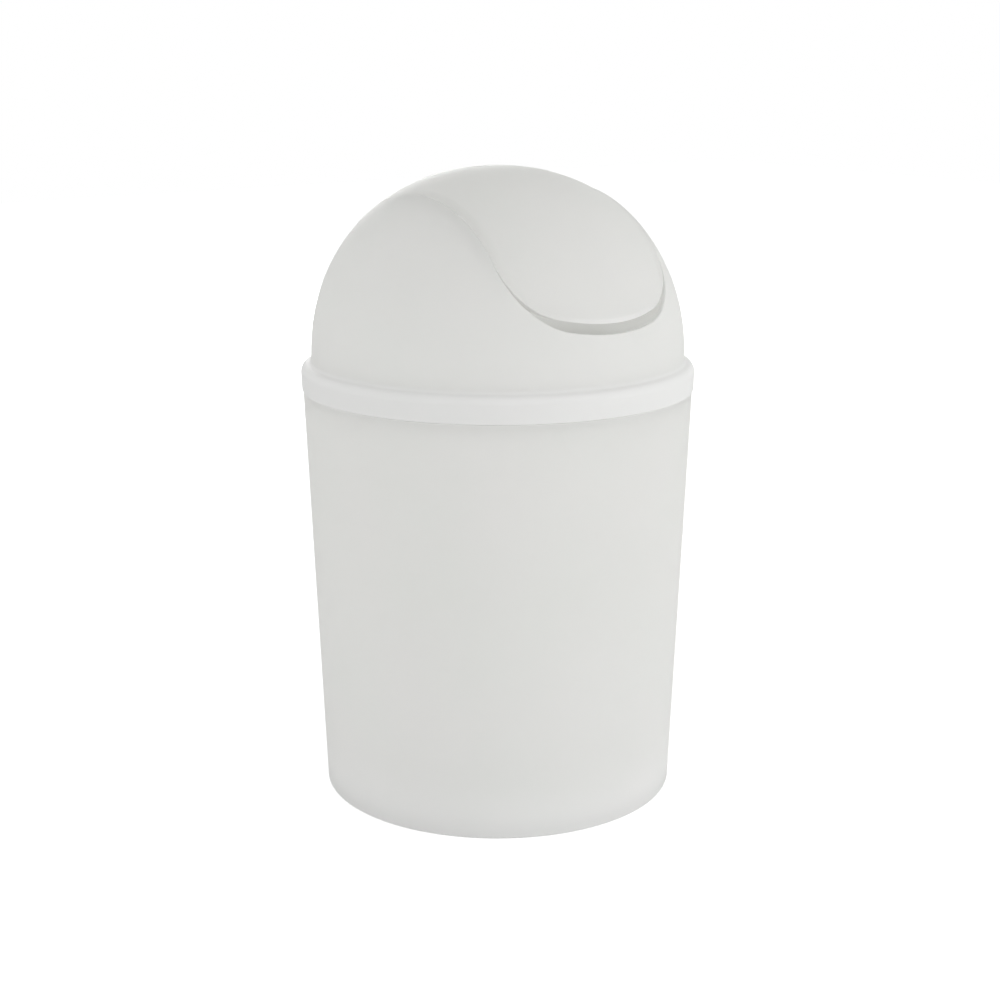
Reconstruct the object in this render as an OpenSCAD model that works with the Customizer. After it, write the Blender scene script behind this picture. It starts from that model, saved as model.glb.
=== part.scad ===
// Countertop trash can with a swing lid.
// A tapered bin stands on its foot ring, a domed cover drops over the bin's neck,
// and an arched flap swings on two stubs between the cheeks of the cover.
// The front is -Y, up is +Z, the flap's axis runs along X, and the origin is the
// centre of the foot on the table. All sizes are in millimetres.

/* [Bin] */
// Outer radius of the bin at the table
foot_r = 86.4; // [70:0.1:92]
// Outer radius of the bin just under the cover's band
body_top_r = 94.1; // [88:0.1:110]
// Height of the lower edge of the cover's band
band_z = 200; // [120:1:320]
// Wall of the bin
bin_wall = 1.8; // [1.2:0.1:2.6]
// Wall of the stepped-in neck that the cover slips over
neck_wall = 1.6; // [1.2:0.1:2.4]
// Height over which the body wall draws in to the neck
neck_blend_h = 4; // [2:0.5:10]
// Radius of the outside corner at the foot
foot_fillet_r = 1.2; // [1:0.1:5]
// Width of the flat ring that the bin stands on
foot_ring_w = 5; // [3:0.1:9]
// Height of the hollow under the floor
floor_lift = 1.6; // [0.8:0.1:4]
// Thickness of the floor
floor_t = 2; // [1.2:0.1:4]
// Radius of the inside corner between the floor and the wall
floor_fillet_r = 5; // [2:0.5:12]

/* [Cover] */
// How far the band stands proud of the bin at its lower edge
band_proud = 0.6; // [0.2:0.1:3]
// Draft of the band's outer face, from its lower edge to its shoulder
band_draft = 0.3; // [0:0.1:1]
// Height from the band's lower edge to the ledge inside its shoulder
band_h = 12.6; // [11:0.1:30]
// Radius of the band's rounded shoulder
shoulder_r = 4.6; // [1:0.1:4.6]
// Width of the ledge between the dome and the outside of the band
ledge_w = 5; // [4.7:0.1:9]
// Thickness of the ledge, which rests over the bin's rim
ledge_t = 2; // [1.4:0.1:3]
// Height of the upright wall between the ledge and the foot of the dome
skirt_h = 2.4; // [0.4:0.1:6]
// Wall of the band
band_wall = 1.7; // [1.2:0.1:2.2]
// Wall of the dome
dome_wall = 1.8; // [1.2:0.1:2.6]
// Height of the dome above its foot
dome_h = 90; // [80:1:120]
// Exponent of the dome's outline, where 2 is a plain ellipse
dome_n = 2.12; // [2:0.01:2.4]

/* [Mouth and flap] */
// Width of the mouth between the cheeks of the cover
mouth_w = 94; // [80:0.1:104]
// Height of the mouth's sill above the foot of the dome, at the middle
sill_rise = 21.4; // [12:0.1:32]
// Radius of the sill's shallow curve, seen from the front
sill_r = 123; // [100:1:300]
// Radius of the mouth's lower corners, seen from the front
corner_r = 29.5; // [18:0.5:32]
// How much smaller the radius of the flap's lower corners is
corner_tuck = 3.5; // [0:0.1:4]
// Open gap between the sill and the tip of the flap
tip_gap = 4.6; // [4:0.1:8]
// Running gap between the flap and each cheek
side_gap = 0.4; // [0.3:0.1:1]
// Wall of the flap
flap_wall = 1.8; // [1.2:0.1:2.6]
// Thickness of the flap's turned-in rim
rim_t = 1.6; // [1:0.1:2.4]
// Depth of the flap's turned-in rim below its outer face
rim_d = 6; // [4:0.5:9]

/* [Pivots] */
// Depth of the flap's axis below the dome's surface at the mouth's edge
pivot_drop = 9.5; // [8:0.1:16]
// Radius of the flap's pivot stubs
stub_r = 3; // [2:0.1:4]
// Radial clearance of the stubs in their bores
stub_clearance = 0.1; // [0.05:0.05:0.3]
// How far a stub stands out past the inner web of its cheek
stub_tip = 1.2; // [0.5:0.1:3]
// Radius of the ears round the flap's axis, on the flap and on the cheeks
ear_r = 7; // [6:0.1:9]
// Thickness of the webs along the inner edges of the cheeks
web_t = 1.8; // [1.2:0.1:2.6]
// Depth of those webs below the dome's outer face
web_d = 7; // [5:0.5:10]

/* [Fits] */
// Radial gap between the bin's neck and the band
neck_gap = 0.3; // [0.1:0.05:0.8]
// Height of the gap between the bin's rim and the ledge that it carries
rim_gap = 0.2; // [0.1:0.05:0.5]
// Height of the gap between the bin's shoulder and the band's lower edge
band_gap = 0.4; // [0.2:0.05:1]

/* [Hidden] */
$fn = 96;
eps = 0.01;
// Straight steps that follow the dome's outline from its foot to the crown
dome_steps = 30;
plastic = [0.85, 0.85, 0.83];

band_low_r = body_top_r + band_proud;
band_r = band_low_r + band_draft;
band_in_r = band_low_r - band_wall;
dome_r = band_r - ledge_w;
ledge_z = band_z + band_h;
ledge_under_z = ledge_z - ledge_t;
dome_foot_z = ledge_z + skirt_h;
crown_z = dome_foot_z + dome_h;

neck_r = band_in_r - neck_gap;
neck_in_r = neck_r - neck_wall;
neck_z = band_z - band_gap;
rim_z = ledge_under_z - rim_gap;
floor_z = floor_lift + floor_t;
body_lean = (body_top_r - foot_r) / neck_z;

mouth_half = mouth_w / 2;
sill_z = dome_foot_z + sill_rise;
web_foot_z = arch_corner_z(mouth_half, sill_r, sill_z, corner_r);
flap_half = mouth_half - side_gap;
tongue_r = sill_r - side_gap;
tongue_corner_r = corner_r - corner_tuck;

axis_z = dome_z_at(mouth_half, 0) - pivot_drop;
stub_out_x = mouth_half + web_t + stub_tip;

// Height of the dome's outline, inset by off, at the distance r from its axis
function dome_z_at(r, off) =
    dome_foot_z + (dome_h - off) * pow(1 - pow(r / (dome_r - off), dome_n), 1 / dome_n);

// Points of the dome's outline, inset by off, from its foot up to the crown
function dome_points(off) = [
    for (i = [0 : dome_steps]) let (a = 90 * i / dome_steps)
        [(dome_r - off) * pow(cos(a), 2 / dome_n),
         dome_foot_z + (dome_h - off) * pow(sin(a), 2 / dome_n)]
];

// Height of the centres of an arch's corners, where low_z is the height of its lowest point
function arch_corner_z(half, reach, low_z, corner) =
    low_z + reach - sqrt(pow(reach - corner, 2) - pow(half - corner, 2));

function reversed(points) = [for (i = [len(points) - 1 : -1 : 0]) points[i]];

// Outer radius of the bin's body at the height z
function body_r_at(z) = foot_r + body_lean * z;

// The dome as a full solid, inset by off
module dome_solid(off) {
    rotate_extrude() polygon(concat([[0, dome_foot_z]], dome_points(off)));
}

// The dome as a shell between two insets
module dome_shell(outer_off, inner_off) {
    rotate_extrude() polygon(concat(dome_points(outer_off), reversed(dome_points(inner_off))));
}

// An arch seen from the front, drawn in by inset. Its sides stand half apart from the middle,
// and its lower edge is a curve of radius reach between corners of radius corner
module arch(half, reach, low_z, corner, inset) {
    x = half - corner;
    z = arch_corner_z(half, reach, low_z, corner);
    slope = asin(x / (reach - corner));
    translate([0, low_z + reach]) intersection() {
        circle(r = reach - inset);
        polygon([[0, 0], 2 * reach * [-sin(slope), -cos(slope)], 2 * reach * [sin(slope), -cos(slope)]]);
    }
    for (side = [-1, 1])
        translate([side * x, z]) circle(r = corner - inset);
    translate([-half + inset, z])
        square([2 * (half - inset), crown_z - z]);
}

// A flat outline carried along Y, through the front and the back of the dome
module through_dome() {
    translate([0, dome_r * 2, 0]) rotate([90, 0, 0])
        linear_extrude(height = dome_r * 4) children();
}

module mouth_cut() {
    through_dome() arch(mouth_half, sill_r, sill_z, corner_r, 0);
}

module flap_cut(inset) {
    through_dome() arch(flap_half, tongue_r, sill_z + tip_gap, tongue_corner_r, inset);
}

// A plate between x0 and x1 that follows the inside of the dome to the depth d
module edge_web(x0, x1, d, from_z, skin) {
    intersection() {
        dome_shell(skin / 2, d);
        translate([x0, -dome_r, from_z]) cube([x1 - x0, 2 * dome_r, crown_z - from_z]);
    }
}

// A rounded ear round the flap's axis, carried up into the dome's skin
module ear(x0, x1, skin) {
    intersection() {
        dome_solid(skin / 2);
        union() {
            translate([x0, 0, axis_z]) rotate([0, 90, 0]) cylinder(r = ear_r, h = x1 - x0);
            translate([x0, -ear_r, axis_z]) cube([x1 - x0, 2 * ear_r, crown_z - axis_z]);
        }
    }
}

module bin_section() {
    corner = (90 + atan(body_lean)) / 2;
    corner_run = foot_fillet_r / tan(corner);
    inner_foot_r = body_r_at(floor_z) - bin_wall;
    difference() {
        union() {
            polygon([
                [0, floor_lift],
                [foot_r - corner_run - foot_ring_w - floor_lift, floor_lift],
                [foot_r - corner_run - foot_ring_w, 0],
                [foot_r - corner_run, 0],
                [body_r_at(foot_fillet_r) - eps, foot_fillet_r],
                [body_top_r, neck_z],
                [neck_r, neck_z],
                [neck_r, rim_z - neck_wall / 2],
                [0, rim_z - neck_wall / 2]
            ]);
            translate([foot_r - corner_run, foot_fillet_r]) circle(r = foot_fillet_r);
            translate([neck_r - neck_wall / 2, rim_z - neck_wall / 2]) circle(r = neck_wall / 2);
        }
        difference() {
            polygon([
                [0, floor_z],
                [inner_foot_r, floor_z],
                [body_r_at(neck_z - neck_blend_h) - bin_wall, neck_z - neck_blend_h],
                [neck_in_r, neck_z],
                [neck_in_r, rim_z + eps],
                [0, rim_z + eps]
            ]);
            difference() {
                translate([inner_foot_r - floor_fillet_r, floor_z - eps])
                    square([2 * floor_fillet_r, floor_fillet_r + eps]);
                translate([inner_foot_r - floor_fillet_r, floor_z + floor_fillet_r])
                    circle(r = floor_fillet_r);
            }
        }
    }
}

module cover_section() {
    difference() {
        union() {
            polygon(concat(
                [[0, band_z], [band_low_r, band_z], [band_r, ledge_z - shoulder_r],
                 [band_r - shoulder_r, ledge_z], [dome_r, ledge_z]],
                dome_points(0)));
            translate([band_r - shoulder_r, ledge_z - shoulder_r]) circle(r = shoulder_r);
        }
        polygon(concat(
            [[0, band_z - 1], [band_in_r, band_z - 1], [band_in_r, ledge_under_z],
             [dome_r - dome_wall, ledge_under_z]],
            dome_points(dome_wall)));
    }
}

// Tapered bucket with a stepped-in neck, a rounded rim and a foot ring
module bin() color(plastic) {
    rotate_extrude() bin_section();
}

// Dome, ledge and band in one moulding, with the mouth cut over the crown
module cover() color(plastic) {
    difference() {
        union() {
            difference() {
                rotate_extrude() cover_section();
                mouth_cut();
            }
            for (side = [0, 1]) mirror([side, 0, 0]) {
                edge_web(mouth_half, mouth_half + web_t, web_d, web_foot_z, dome_wall);
                ear(mouth_half, mouth_half + web_t, dome_wall);
            }
        }
        for (side = [0, 1]) mirror([side, 0, 0])
            translate([mouth_half - eps, 0, axis_z]) rotate([0, 90, 0])
                cylinder(r = stub_r + stub_clearance, h = web_t + 2 * eps);
    }
}

// Arched flap with a tongue at the front and the back, a turned-in rim,
// two ears and a stub on each ear
module swing_flap() color(plastic) {
    intersection() {
        dome_shell(0, flap_wall);
        flap_cut(0);
    }
    intersection() {
        dome_shell(flap_wall / 2, rim_d);
        difference() {
            flap_cut(0);
            flap_cut(rim_t);
        }
    }
    for (side = [0, 1]) mirror([side, 0, 0]) {
        ear(flap_half - rim_t, flap_half, flap_wall);
        translate([flap_half - rim_t, 0, axis_z]) rotate([0, 90, 0])
            cylinder(r = stub_r, h = stub_out_x - flap_half + rim_t);
    }
}

bin();
cover();
swing_flap();
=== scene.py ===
"""Looks of a countertop trash can with a swing lid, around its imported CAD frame.

The can is three mouldings in one frosted plastic: a tapered bin, a domed cover that
slips over the bin's neck, and an arched flap that swings on two stubs. The front is -Y,
up is +Z and the flap's axis runs along X. Sizes are in millimetres until a mesh is made.
"""

import math

import bmesh
import bpy
import numpy as np
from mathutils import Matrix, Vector


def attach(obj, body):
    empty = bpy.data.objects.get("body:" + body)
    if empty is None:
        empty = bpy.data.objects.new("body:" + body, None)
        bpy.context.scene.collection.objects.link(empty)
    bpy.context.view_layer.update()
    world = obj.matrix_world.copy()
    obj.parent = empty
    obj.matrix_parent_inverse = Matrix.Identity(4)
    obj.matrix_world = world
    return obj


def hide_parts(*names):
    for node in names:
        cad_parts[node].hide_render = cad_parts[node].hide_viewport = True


MM = 0.001

# The bin
FOOT_R = 86.4
BODY_TOP_R = 94.1
NECK_Z = 199.75
NECK_BLEND_H = 4.0
NECK_R = 92.7
NECK_IN_R = 91.1
RIM_Z = 210.4
BIN_WALL = 1.8
FLOOR_LIFT = 1.6
FLOOR_Z = 3.6
FOOT_FILLET_R = 1.2
RING_IN_R = 79.0
GATE_R = 1.6
GATE_Z = 1.0

# The cover
BAND_Z = 200.0
BAND_LOW_R = 94.7
BAND_R = 95.0
BAND_IN_R = 93.0
SHOULDER_R = 4.6
VALLEY_R = 2.2
LEDGE_Z = 212.6
LEDGE_UNDER_Z = 210.6
DOME_FOOT_Z = 215.0
DOME_R = 90.0
DOME_H = 90.0
DOME_N = 2.12
DOME_WALL = 1.8

# The mouth's outline and the flap's, seen from the front. The flap's gap to the cheeks is
# half of the CAD's here, and its corners are a little tighter, as the photograph has them
SIDE_GAP = 0.2
TIP_GAP = 4.6
MOUTH = {"half": 47.0, "corner_r": 29.5, "reach": 123.0, "low_z": 236.4}
FLAP = {
    "half": MOUTH["half"] - SIDE_GAP,
    "corner_r": 25.0,
    "reach": MOUTH["reach"] - SIDE_GAP,
    "low_z": MOUTH["low_z"] + TIP_GAP,
}

# Edges, pivots and the soft forms beside the mouth
EDGE_R = 0.25
SWELL = 0.7
SWELL_BACK = 0.15
SWELL_WIDTH = 18.0
LIP_SHARE = 1.0
LIP_WIDTH = 4.4
TIP_DROP = 0.45
TIP_WIDTH = 2.0
LIP_FOOT_Z = 245.0
LIP_FOOT_H = 13.0
WEB_T = 1.8
WEB_D = 7.0
SILL_WEB_D = 2.0
WEB_FOOT_Z = 272.0
WEB_FOOT_H = 12.0
SILL_BEVEL_R = 1.3
WEB_BEVEL_R = 0.4
RIM_T = 1.6
RIM_D = 6.0
AXIS_Z = 283.9676
EAR_R = 7.0
STUB_R = 3.0
STUB_OUT_X = 50.0
BORE_R = 3.1

COLUMNS = 576


# Profiles

def smoothstep(t):
    t = np.clip(t, 0.0, 1.0)
    return t * t * (3.0 - 2.0 * t)


def smooth_min(a, b, k):
    """The lower of two heights, blended over the height k."""
    h = np.clip(0.5 + 0.5 * (b - a) / k, 0.0, 1.0)
    return b * (1.0 - h) + a * h - k * h * (1.0 - h)


def rounded(corners):
    """A polyline of (r, z, fillet radius) corners as points, with each corner rounded.

    A point just outside each fillet keeps the shading of the long faces flat."""
    pts = [np.array(c[:2], float) for c in corners]
    out = [pts[0]]
    for i in range(1, len(pts) - 1):
        p, radius = pts[i], corners[i][2]
        a, b = pts[i - 1] - p, pts[i + 1] - p
        la, lb = np.linalg.norm(a), np.linalg.norm(b)
        a, b = a / la, b / lb
        half = 0.5 * math.acos(np.clip(a @ b, -1.0, 1.0))
        run = radius / math.tan(half)
        centre = p + (a + b) / np.linalg.norm(a + b) * radius / math.sin(half)
        start, end = p + a * run, p + b * run
        lead = min(0.5, 0.2 * (la - run))
        tail = min(0.5, 0.2 * (lb - run))
        out.append(start + a * lead)
        steps = max(3, int((math.pi - 2 * half) / math.radians(9)))
        v0, v1 = start - centre, end - centre
        angle = math.acos(np.clip(v0 @ v1 / radius**2, -1.0, 1.0))
        for k in range(steps + 1):
            t = k / steps
            w0 = math.sin((1 - t) * angle) / math.sin(angle)
            w1 = math.sin(t * angle) / math.sin(angle)
            out.append(centre + v0 * w0 + v1 * w1)
        out.append(end + b * tail)
    out.append(pts[-1])
    return out


def filled(points, longest):
    """Points with extra ones where two neighbours lie further apart than longest."""
    out = [points[0]]
    for p, q in zip(points, points[1:]):
        n = max(1, int(math.ceil(np.linalg.norm(q - p) / longest)))
        out += [p + (q - p) * k / n for k in range(1, n + 1)]
    return out


def arc(centre, radius, start, end, steps):
    """Points on a circle, between two angles in degrees from the outward direction."""
    turns = np.radians(np.linspace(start, end, steps + 1))
    return [np.array(centre) + radius * np.array([math.cos(t), math.sin(t)]) for t in turns]


# Meshes

def azimuths():
    """Angles round the can, from the front towards +X."""
    return np.arange(COLUMNS) * (2 * math.pi / COLUMNS)


def ring(r, z):
    """One row of points round the axis, at the radius r and the height z."""
    phi = azimuths()
    r = np.broadcast_to(np.asarray(r, float), phi.shape)
    z = np.broadcast_to(np.asarray(z, float), phi.shape)
    return np.stack([r * np.sin(phi), -r * np.cos(phi), z], axis=1)


def shell_mesh(name, rows, closed):
    """A mesh of quads between rows of points. A row may be one point, at a pole."""
    verts, starts = [], []
    for row in rows:
        starts.append(sum(len(v) for v in verts))
        verts.append(np.atleast_2d(row))
    pairs = list(zip(range(len(rows) - 1), range(1, len(rows))))
    if closed:
        pairs.append((len(rows) - 1, 0))
    faces = []
    for i, j in pairs:
        a, b = starts[i], starts[j]
        one_a, one_b = len(verts[i]) == 1, len(verts[j]) == 1
        for k in range(COLUMNS):
            m = (k + 1) % COLUMNS
            if one_a:
                faces.append((a, b + k, b + m))
            elif one_b:
                faces.append((a + k, b, a + m))
            else:
                faces.append((a + k, b + k, b + m, a + m))
    mesh = bpy.data.meshes.new(name)
    mesh.from_pydata((np.concatenate(verts) * MM).tolist(), [], faces)
    mesh.validate()
    return mesh


def piece(name, mesh):
    obj = bpy.data.objects.new(name, mesh)
    bpy.context.scene.collection.objects.link(obj)
    return obj


def smooth(obj):
    """Smooth shading, with the true edges kept sharp, and all faces turned outward."""
    bm = bmesh.new()
    bm.from_mesh(obj.data)
    bmesh.ops.recalc_face_normals(bm, faces=bm.faces)
    bm.to_mesh(obj.data)
    bm.free()
    obj.data.shade_smooth()
    obj.data.set_sharp_from_angle(angle=math.radians(40))


def peg(name, x0, x1, radius, chamfer):
    """A closed pin along X at the flap's axis, with a rounded far end."""
    profile = [(0.0, x0), (radius, x0), (radius, x1 - chamfer)]
    for k in range(1, 7):
        t = k * math.pi / 12
        r = radius - chamfer + chamfer * math.cos(t)
        profile.append((r, x1 - chamfer + chamfer * math.sin(t)))
    profile.append((0.0, x1))
    n = 64
    verts, faces = [], []
    for r, x in profile:
        if r == 0.0:
            verts.append((x * MM, 0.0, AXIS_Z * MM))
        else:
            for k in range(n):
                t = 2 * math.pi * k / n
                verts.append((x * MM, r * math.cos(t) * MM, (AXIS_Z + r * math.sin(t)) * MM))
    rings = len(profile) - 2
    for k in range(n):
        m = (k + 1) % n
        faces.append((0, 1 + m, 1 + k))
        for i in range(rings - 1):
            a, b = 1 + i * n, 1 + (i + 1) * n
            faces.append((a + k, a + m, b + m, b + k))
        last = 1 + (rings - 1) * n
        faces.append((last + k, last + m, len(verts) - 1))
    mesh = bpy.data.meshes.new(name)
    mesh.from_pydata(verts, [], faces)
    return piece(name, mesh)


def combine(obj, tool, operation):
    """Joins tool to obj, or cuts it out of obj, and removes the tool."""
    mod = obj.modifiers.new("join", "BOOLEAN")
    mod.operation = operation
    mod.solver = "EXACT"
    mod.object = tool
    bpy.context.view_layer.update()
    depsgraph = bpy.context.evaluated_depsgraph_get()
    mesh = bpy.data.meshes.new_from_object(obj.evaluated_get(depsgraph))
    obj.modifiers.clear()
    obj.data = mesh
    bpy.data.objects.remove(tool)


# The dome and the mouth

def dome_point(a, off):
    """Radius and height on the dome's outline inset by off, for a from 0 to a quarter turn."""
    c, s = np.maximum(np.cos(a), 0.0), np.maximum(np.sin(a), 0.0)
    return (DOME_R - off) * c ** (2 / DOME_N), DOME_FOOT_Z + (DOME_H - off) * s ** (2 / DOME_N)


def arch_distance(arch, x, z):
    """Distance outside an arch's outline, seen from the front."""
    half, corner_r, reach = arch["half"], arch["corner_r"], arch["reach"]
    centre_z = arch["low_z"] + reach
    corner_x = half - corner_r
    drop = math.sqrt((reach - corner_r) ** 2 - corner_x**2)
    x = np.abs(x)
    corner = np.hypot(x - corner_x, z - centre_z + drop) - corner_r
    low = np.hypot(x, centre_z - z) - reach
    low = np.where(np.arctan2(x, centre_z - z) > math.atan2(corner_x, drop), corner, low)
    return np.where(z >= centre_z - drop, x - half, low)


def edge_angle(distance, off, arch=MOUTH):
    """Outline angle at which each azimuth lies at that distance outside the arch."""
    phi = azimuths()
    distance = np.broadcast_to(np.asarray(distance, float), phi.shape)
    low, high = np.zeros_like(phi), np.full_like(phi, math.pi / 2)
    for _ in range(44):
        mid = 0.5 * (low + high)
        r, z = dome_point(mid, off)
        outside = arch_distance(arch, r * np.sin(phi), z) > distance
        low, high = np.where(outside, mid, low), np.where(outside, high, mid)
    return 0.5 * (low + high)


def at_edge(distance, off, arch=MOUTH):
    """One row of points on the inset dome, at that distance outside the arch."""
    return ring(*dome_point(edge_angle(distance, off, arch), off))


def ear_height(y):
    """Lower outline of an ear round the flap's axis, with sides that lean out a little."""
    y = np.abs(y)
    turn = EAR_R * 4 / math.sqrt(17)
    round_part = AXIS_Z - np.sqrt(np.maximum(EAR_R**2 - np.minimum(y, turn) ** 2, 0.0))
    return round_part + 4.0 * np.maximum(y - turn, 0.0)


def with_ear(row, up):
    """A row of the web's lower edge, taken down round the flap's axis."""
    row = row.copy()
    row[:, 2] = smooth_min(row[:, 2], ear_height(row[:, 1]) + up, 1.2)
    return row


def between(top, bottom, n):
    """Rows that divide the way from one row to another, without the two."""
    return [top + (bottom - top) * k / n for k in range(1, n)]


def turned_edge(arch, sign, thick, depth, near_r, top_out, top_in):
    """Rows down the edge's wall, round the foot of its web, and up the inner side.

    The sign says on which side of the arch the web lies, and near_r is the radius of the
    foot's corner at the arch. top_out and top_in are the rows where the two sides start
    and end."""
    far_r = 0.4
    turn = [(0, near_r), (0.3 * near_r, 0.3 * near_r), (near_r, 0)]
    turn += [(thick - far_r, 0), (thick - 0.3 * far_r, 0.3 * far_r), (thick, far_r)]
    rows = [with_ear(at_edge(sign * d, depth - up, arch), up) for d, up in turn]
    return between(top_out, rows[0], 6) + rows + between(rows[-1], top_in, 6)


# Bin

def make_bin():
    lean = (BODY_TOP_R - FOOT_R) / NECK_Z
    inner_foot = FOOT_R + lean * FLOOR_Z - BIN_WALL
    inner_top = FOOT_R + lean * (NECK_Z - NECK_BLEND_H) - BIN_WALL
    corners = [
        (0.0, GATE_Z, 0),
        (GATE_R, GATE_Z, 0.2),
        (GATE_R + 0.2, FLOOR_LIFT, 0.2),
        (RING_IN_R - FLOOR_LIFT, FLOOR_LIFT, 1.0),
        (RING_IN_R, 0.0, 0.4),
        (FOOT_R, 0.0, FOOT_FILLET_R),
        (BODY_TOP_R, NECK_Z, 0.2),
        (NECK_R, NECK_Z, 0.3),
        (NECK_R, RIM_Z, 0.75),
        (NECK_IN_R, RIM_Z, 0.75),
        (NECK_IN_R, NECK_Z, 3.0),
        (inner_top, NECK_Z - NECK_BLEND_H, 3.0),
        (inner_foot, FLOOR_Z, 5.0),
        (0.0, FLOOR_Z, 0),
    ]
    profile = filled(rounded(corners), 9.0)
    rows = [ring(r, z) for r, z in profile[1:-1]]
    first = np.array([[0.0, 0.0, profile[0][1]]])
    last = np.array([[0.0, 0.0, profile[-1][1]]])
    obj = piece("bin_moulding", shell_mesh("bin_moulding", [first] + rows + [last], closed=False))
    smooth(obj)
    return obj


# Cover

def edge_rise():
    """How far the mouth's edge stands proud of the dome, which is less on the back half."""
    front = smoothstep((20.0 - at_edge(0.0, 0.0)[:, 1]) / 40.0)
    return SWELL_BACK + (SWELL - SWELL_BACK) * front


def swell(distance):
    """How far the cheek stands proud at that distance outside the mouth."""
    t = np.clip(np.asarray(distance, float) / SWELL_WIDTH, 0.0, 1.0)
    return edge_rise() * np.cos(0.5 * math.pi * t) ** 2


def bevel():
    """Distances and depths round the edge, from its wall to the face."""
    turns = np.linspace(0, math.pi / 2, 6)
    return [(EDGE_R - EDGE_R * math.cos(t), EDGE_R - EDGE_R * math.sin(t)) for t in turns]


def band_section():
    """The cover's section from the dome's foot over the shoulder, round the band and up inside."""
    shoulder = np.array([BAND_R - SHOULDER_R, LEDGE_Z - SHOULDER_R])
    offset = DOME_R + VALLEY_R - shoulder[0]
    valley = shoulder + np.array([offset, math.sqrt((SHOULDER_R + VALLEY_R) ** 2 - offset**2)])
    turn = math.degrees(math.asin(offset / (SHOULDER_R + VALLEY_R)))
    outside = arc(valley, VALLEY_R, 180.0, 270.0 - turn, 9)
    outside += arc(shoulder, SHOULDER_R, 90.0 - turn, 0.0, 14)[1:]
    inside = rounded([
        (BAND_R, LEDGE_Z - SHOULDER_R, 0),
        (BAND_LOW_R, BAND_Z, 0.2),
        (BAND_IN_R, BAND_Z, 0.4),
        (BAND_IN_R, LEDGE_UNDER_Z, 0.5),
        (DOME_R - DOME_WALL, LEDGE_UNDER_Z, 1.0),
        (DOME_R - DOME_WALL, DOME_FOOT_Z, 0),
    ])
    return filled(outside + inside[1:], 4.0)


def make_cover():
    rows = [at_edge(d, off - swell(d)) for d, off in bevel()]
    steps = [0.8, 1.6, 3.0, 4.5, 6.0, 8.0, 10.0, 12.0, 14.0, 16.0, SWELL_WIDTH]
    rows += [at_edge(d, -swell(d)) for d in steps]
    foot_angle = math.asin((0.5 / DOME_H) ** (DOME_N / 2))
    start = edge_angle(SWELL_WIDTH, 0.0)
    for k in range(1, 29):
        rows.append(ring(*dome_point(start + (foot_angle - start) * k / 28, 0.0)))
    rows += [ring(r, z) for r, z in band_section()]
    inner_start = edge_angle(SWELL_WIDTH, DOME_WALL)
    for k in range(0, 25):
        rows.append(ring(*dome_point(inner_start * (k + 0.5) / 24.5, DOME_WALL)))
    inner_steps = [15.0, 12.0, 9.0, 6.5, 4.5, 3.0, 2.3]
    rows += [at_edge(d, DOME_WALL - swell(d)) for d in inner_steps]
    height = at_edge(0.0, 0.0)[:, 2]
    upper = smoothstep((height - WEB_FOOT_Z) / WEB_FOOT_H)
    depth = SILL_WEB_D + (WEB_D - SILL_WEB_D) * upper
    top_in = at_edge(WEB_T, DOME_WALL + 0.1 - swell(WEB_T))
    near_r = SILL_BEVEL_R + (WEB_BEVEL_R - SILL_BEVEL_R) * upper
    edge = turned_edge(MOUTH, 1, WEB_T, depth, near_r, rows[0], top_in)
    rows.append(top_in)
    rows += edge[::-1]
    obj = piece("cover_moulding", shell_mesh("cover_moulding", rows, closed=True))
    smooth(obj)
    for side in (-1, 1):
        x0, x1 = sorted((side * (MOUTH["half"] - 0.6), side * (MOUTH["half"] + WEB_T + 1.0)))
        combine(obj, peg("bore", x0, x1, BORE_R, 0.01), "DIFFERENCE")
    smooth(obj)
    return obj


# Flap

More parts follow.
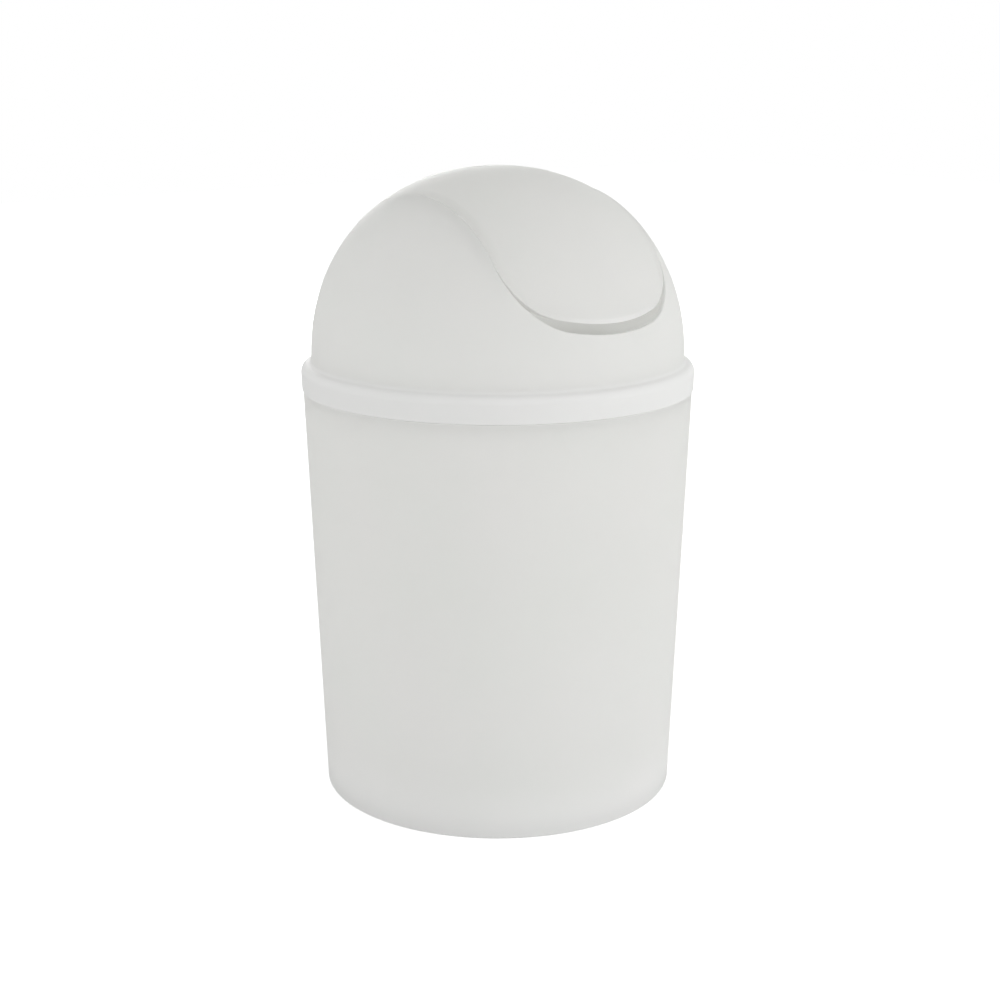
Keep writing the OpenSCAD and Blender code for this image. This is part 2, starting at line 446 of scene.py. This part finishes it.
def make_flap():
    edge_height = at_edge(0.0, 0.0, FLAP)[:, 2]
    along = smoothstep((edge_height - LIP_FOOT_Z) / LIP_FOOT_H)
    strip = TIP_WIDTH + (LIP_WIDTH - TIP_WIDTH) * along
    drop = TIP_DROP * (1.0 - along) - LIP_SHARE * edge_rise() * along

    def sunk(distance):
        """Depth of the strip along the flap's edge, which is negative where it stands proud."""
        s = 1.0 - distance / strip
        w = 0.16
        ramp = np.where(s > w, s, np.where(s > -w, (s + w) ** 2 / (4 * w), 0.0))
        return drop * ramp

    def row(distance, off):
        return at_edge(-distance, off, FLAP)

    reach = 1.6 * strip
    inner_edge = edge_angle(-reach, 0.0, FLAP)
    quarter = math.pi / 2
    rows = [np.array([[0.0, 0.0, DOME_FOOT_Z + DOME_H]])]
    for k in range(1, 37):
        rows.append(ring(*dome_point(quarter + (inner_edge - quarter) * k / 37, 0.0)))
    for u in (1.6, 1.4, 1.25, 1.15, 1.08, 1.0, 0.92, 0.85, 0.7, 0.55, 0.4, 0.28):
        rows.append(row(u * strip, sunk(u * strip)))
    for d, off in bevel()[::-1]:
        rows.append(row(d, off + sunk(d)))
    top_in = row(RIM_T, DOME_WALL + 0.1 + sunk(RIM_T))
    rows += turned_edge(FLAP, -1, RIM_T, RIM_D, WEB_BEVEL_R, rows[-1], top_in)
    rows.append(top_in)
    for d in (2.2, 3.0, 4.0, 5.2, 6.4):
        rows.append(row(d, DOME_WALL + sunk(d)))
    inner_edge = edge_angle(-8.0, DOME_WALL, FLAP)
    for k in range(0, 27):
        rows.append(ring(*dome_point(inner_edge + (quarter - inner_edge) * k / 27, DOME_WALL)))
    top = DOME_FOOT_Z + DOME_H - DOME_WALL
    rows += [ring(1.7, top - 0.01), ring(1.5, top - 0.3), ring(1.1, top - 0.5)]
    rows.append(np.array([[0.0, 0.0, top - 0.5]]))
    obj = piece("flap_moulding", shell_mesh("flap_moulding", rows, closed=False))
    smooth(obj)
    ear_x = FLAP["half"] - 0.5 * RIM_T
    for side in (-1, 1):
        stub = peg("stub", side * ear_x, side * STUB_OUT_X, STUB_R, side * 0.6)
        smooth(stub)
        combine(obj, stub, "UNION")
    smooth(obj)
    return obj


# Materials

def node(tree, kind, **values):
    n = tree.nodes.new(kind)
    for key, value in values.items():
        if key in n.inputs:
            n.inputs[key].default_value = value
        else:
            setattr(n, key, value)
    return n


def by_height(tree, coords, stops):
    """A value that follows the height, from a list of (height, value) stops."""
    parts = node(tree, "ShaderNodeSeparateXYZ")
    tree.links.new(coords.outputs["Object"], parts.inputs["Vector"])
    height = node(tree, "ShaderNodeMapRange")
    height.inputs["From Max"].default_value = (DOME_FOOT_Z + DOME_H) * MM
    tree.links.new(parts.outputs["Z"], height.inputs["Value"])
    ramp = node(tree, "ShaderNodeValToRGB")
    elements = ramp.color_ramp.elements
    while len(elements) < len(stops):
        elements.new(1.0)
    for element, (z, value) in zip(elements, stops):
        element.position = z / (DOME_FOOT_Z + DOME_H)
        element.color = (value, value, value, 1.0)
    tree.links.new(height.outputs["Result"], ramp.inputs["Fac"])
    return ramp.outputs["Color"]


def frosted(name, low, high, seed, stops):
    """Milky, satin polypropylene: cloudy colour, fine grain, and light that comes through.

    The stops say how much light comes through at each height."""
    mat = bpy.data.materials.new(name)
    mat.use_nodes = True
    tree = mat.node_tree
    tree.nodes.clear()
    link = tree.links.new
    coords = node(tree, "ShaderNodeTexCoord")

    cloud = node(tree, "ShaderNodeTexNoise", noise_dimensions="4D", W=seed, Scale=22.0, Detail=3.0)
    cloud.inputs["Roughness"].default_value = 0.55
    link(coords.outputs["Object"], cloud.inputs["Vector"])
    ramp = node(tree, "ShaderNodeValToRGB")
    ramp.color_ramp.elements[0].position = 0.3
    ramp.color_ramp.elements[0].color = (*low, 1.0)
    ramp.color_ramp.elements[1].position = 0.7
    ramp.color_ramp.elements[1].color = (*high, 1.0)
    link(cloud.outputs["Fac"], ramp.inputs["Fac"])

    grain = node(tree, "ShaderNodeTexNoise", noise_dimensions="4D", W=seed)
    grain.inputs["Scale"].default_value = 1800.0
    grain.inputs["Detail"].default_value = 2.0
    link(coords.outputs["Object"], grain.inputs["Vector"])
    bump = node(tree, "ShaderNodeBump", Strength=0.25, Distance=0.06 * MM)
    link(grain.outputs["Fac"], bump.inputs["Height"])

    rough = node(tree, "ShaderNodeMapRange")
    rough.inputs["To Min"].default_value = 0.42
    rough.inputs["To Max"].default_value = 0.56
    link(cloud.outputs["Fac"], rough.inputs["Value"])

    shader = node(tree, "ShaderNodeBsdfPrincipled")
    shader.inputs["IOR"].default_value = 1.49
    shader.inputs["Specular IOR Level"].default_value = 0.25
    link(ramp.outputs["Color"], shader.inputs["Base Color"])
    link(rough.outputs["Result"], shader.inputs["Roughness"])
    link(bump.outputs["Normal"], shader.inputs["Normal"])

    through = node(tree, "ShaderNodeBsdfTranslucent")
    link(ramp.outputs["Color"], through.inputs["Color"])
    mix = node(tree, "ShaderNodeMixShader")
    link(by_height(tree, coords, stops), mix.inputs["Fac"])
    link(shader.outputs["BSDF"], mix.inputs[1])
    link(through.outputs["BSDF"], mix.inputs[2])
    out = node(tree, "ShaderNodeOutputMaterial")
    link(mix.outputs["Shader"], out.inputs["Surface"])
    return mat


def floor_material():
    """A pale floor that shows white to the camera and keeps the can's shadow."""
    mat = bpy.data.materials.new("pale_floor")
    mat.use_nodes = True
    tree = mat.node_tree
    tree.nodes.clear()
    link = tree.links.new
    diffuse = node(tree, "ShaderNodeBsdfDiffuse", Color=(0.96, 0.96, 0.96, 1.0))
    path = node(tree, "ShaderNodeLightPath")
    glow = node(tree, "ShaderNodeEmission", Strength=0.45)
    dark = node(tree, "ShaderNodeEmission", Strength=0.0)
    mix = node(tree, "ShaderNodeMixShader")
    link(path.outputs["Is Camera Ray"], mix.inputs["Fac"])
    link(dark.outputs["Emission"], mix.inputs[1])
    link(glow.outputs["Emission"], mix.inputs[2])
    add = node(tree, "ShaderNodeAddShader")
    link(diffuse.outputs["BSDF"], add.inputs[0])
    link(mix.outputs["Shader"], add.inputs[1])
    out = node(tree, "ShaderNodeOutputMaterial")
    link(add.outputs["Shader"], out.inputs["Surface"])
    return mat


# Studio

def make_floor():
    mesh = bpy.data.meshes.new("floor")
    s = 3.0
    mesh.from_pydata([(-s, -s, 0), (s, -s, 0), (s, s, 0), (-s, s, 0)], [], [(0, 1, 2, 3)])
    obj = piece("floor", mesh)
    mesh.materials.append(floor_material())


def make_world(horizon, zenith):
    world = bpy.data.worlds.new("studio")
    bpy.context.scene.world = world
    world.use_nodes = True
    tree = world.node_tree
    tree.nodes.clear()
    link = tree.links.new
    path = node(tree, "ShaderNodeLightPath")
    seen = node(tree, "ShaderNodeMath", operation="MAXIMUM")
    link(path.outputs["Is Camera Ray"], seen.inputs[0])
    link(path.outputs["Is Glossy Ray"], seen.inputs[1])
    shown = node(tree, "ShaderNodeMath", operation="MAXIMUM")
    link(seen.outputs[0], shown.inputs[0])
    link(path.outputs["Is Transmission Ray"], shown.inputs[1])
    coords = node(tree, "ShaderNodeTexCoord")
    parts = node(tree, "ShaderNodeSeparateXYZ")
    link(coords.outputs["Generated"], parts.inputs["Vector"])
    sky = node(tree, "ShaderNodeMapRange")
    sky.inputs["To Min"].default_value = horizon
    sky.inputs["To Max"].default_value = zenith
    link(parts.outputs["Z"], sky.inputs["Value"])
    light = node(tree, "ShaderNodeBackground", Color=(1.0, 1.0, 1.0, 1.0))
    link(sky.outputs["Result"], light.inputs["Strength"])
    white = node(tree, "ShaderNodeBackground", Color=(1.0, 1.0, 1.0, 1.0), Strength=1.0)
    mix = node(tree, "ShaderNodeMixShader")
    link(shown.outputs[0], mix.inputs["Fac"])
    link(light.outputs["Background"], mix.inputs[1])
    link(white.outputs["Background"], mix.inputs[2])
    out = node(tree, "ShaderNodeOutputWorld")
    link(mix.outputs["Shader"], out.inputs["Surface"])


def aim(obj, target):
    direction = Vector(target) - obj.location
    obj.rotation_euler = direction.to_track_quat("-Z", "Y").to_euler()


def make_lamp(name, place, target, size, watts):
    lamp = bpy.data.lights.new(name, "AREA")
    lamp.shape = "DISK"
    lamp.size = size
    lamp.energy = watts
    obj = bpy.data.objects.new(name, lamp)
    bpy.context.scene.collection.objects.link(obj)
    obj.location = place
    aim(obj, target)
    return obj


def make_camera():
    """The photograph's view: 37 degrees round from the front, looking 14.5 degrees down."""
    cam = bpy.data.cameras.new("camera")
    cam.sensor_width = 36.0
    cam.lens = 67.41
    cam.shift_x = 0.0022
    obj = bpy.data.objects.new("camera", cam)
    bpy.context.scene.collection.objects.link(obj)
    distance, height = 0.8962, 0.3731
    azimuth, pitch = math.radians(36.95), math.radians(14.47)
    obj.location = (-distance * math.sin(azimuth), -distance * math.cos(azimuth), height)
    obj.rotation_euler = (math.pi / 2 - pitch, 0.0, -azimuth)
    bpy.context.scene.camera = obj


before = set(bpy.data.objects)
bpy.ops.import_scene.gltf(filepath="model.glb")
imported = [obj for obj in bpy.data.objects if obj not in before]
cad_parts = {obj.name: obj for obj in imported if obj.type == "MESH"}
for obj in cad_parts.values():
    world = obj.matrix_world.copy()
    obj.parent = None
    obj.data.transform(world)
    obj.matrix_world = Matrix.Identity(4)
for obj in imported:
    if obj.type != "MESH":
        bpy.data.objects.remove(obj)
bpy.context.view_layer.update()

bin_obj = make_bin()
cover_obj = make_cover()
flap_obj = make_flap()

GREEN_WHITE = (0.938, 0.942, 0.930)
WARM_WHITE = (0.946, 0.944, 0.936)
COVER_GREEN = (0.923, 0.927, 0.913)
COVER_WARM = (0.931, 0.929, 0.919)

# How much light comes through at each height. The bin's wall gets thicker towards its
# floor, its neck is hidden behind the band, and the thick corners let little through
BIN_STOPS = [
    (0.0, 0.25),
    (30.0, 0.5),
    (120.0, 0.6),
    (BAND_Z - 1.0, 0.6),
    (BAND_Z + 0.5, 0.08),
]
COVER_STOPS = [
    (BAND_Z, 0.2),
    (LEDGE_Z - 4.0, 0.2),
    (LEDGE_Z - 2.0, 0.12),
    (LEDGE_Z + 0.3, 0.15),
    (LEDGE_Z + 1.8, 0.45),
]
FLAP_STOPS = [(241.5, 0.3), (246.0, 0.5)]
looks = (
    (bin_obj, "bin", "bin", GREEN_WHITE, WARM_WHITE, 3.0, BIN_STOPS),
    (cover_obj, "cover", "cover", COVER_GREEN, COVER_WARM, 11.0, COVER_STOPS),
    (flap_obj, "flap", "swing_flap", COVER_GREEN, COVER_WARM, 23.0, FLAP_STOPS),
)
for obj, body, node_name, low, high, seed, stops in looks:
    obj.data.materials.clear()
    obj.data.materials.append(frosted("frosted_" + body, low, high, seed, stops))
    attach(obj, body)
    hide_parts(node_name)

make_floor()
make_world(0.72, 0.7)
make_lamp("key", (0.68, -1.68, 0.32), (0.0, 0.0, 0.16), 0.6, 4.1)
make_lamp("side", (1.21, -1.35, 0.32), (0.0, 0.0, 0.16), 0.6, 4.7)
make_lamp("fill", (-1.79, -0.26, 0.32), (0.0, 0.0, 0.16), 0.6, 3.8)
make_lamp("back", (0.84, 1.53, 0.5), (0.0, 0.0, 0.16), 0.6, 6.2)
make_camera()

bpy.context.scene.view_settings.view_transform = "Standard"
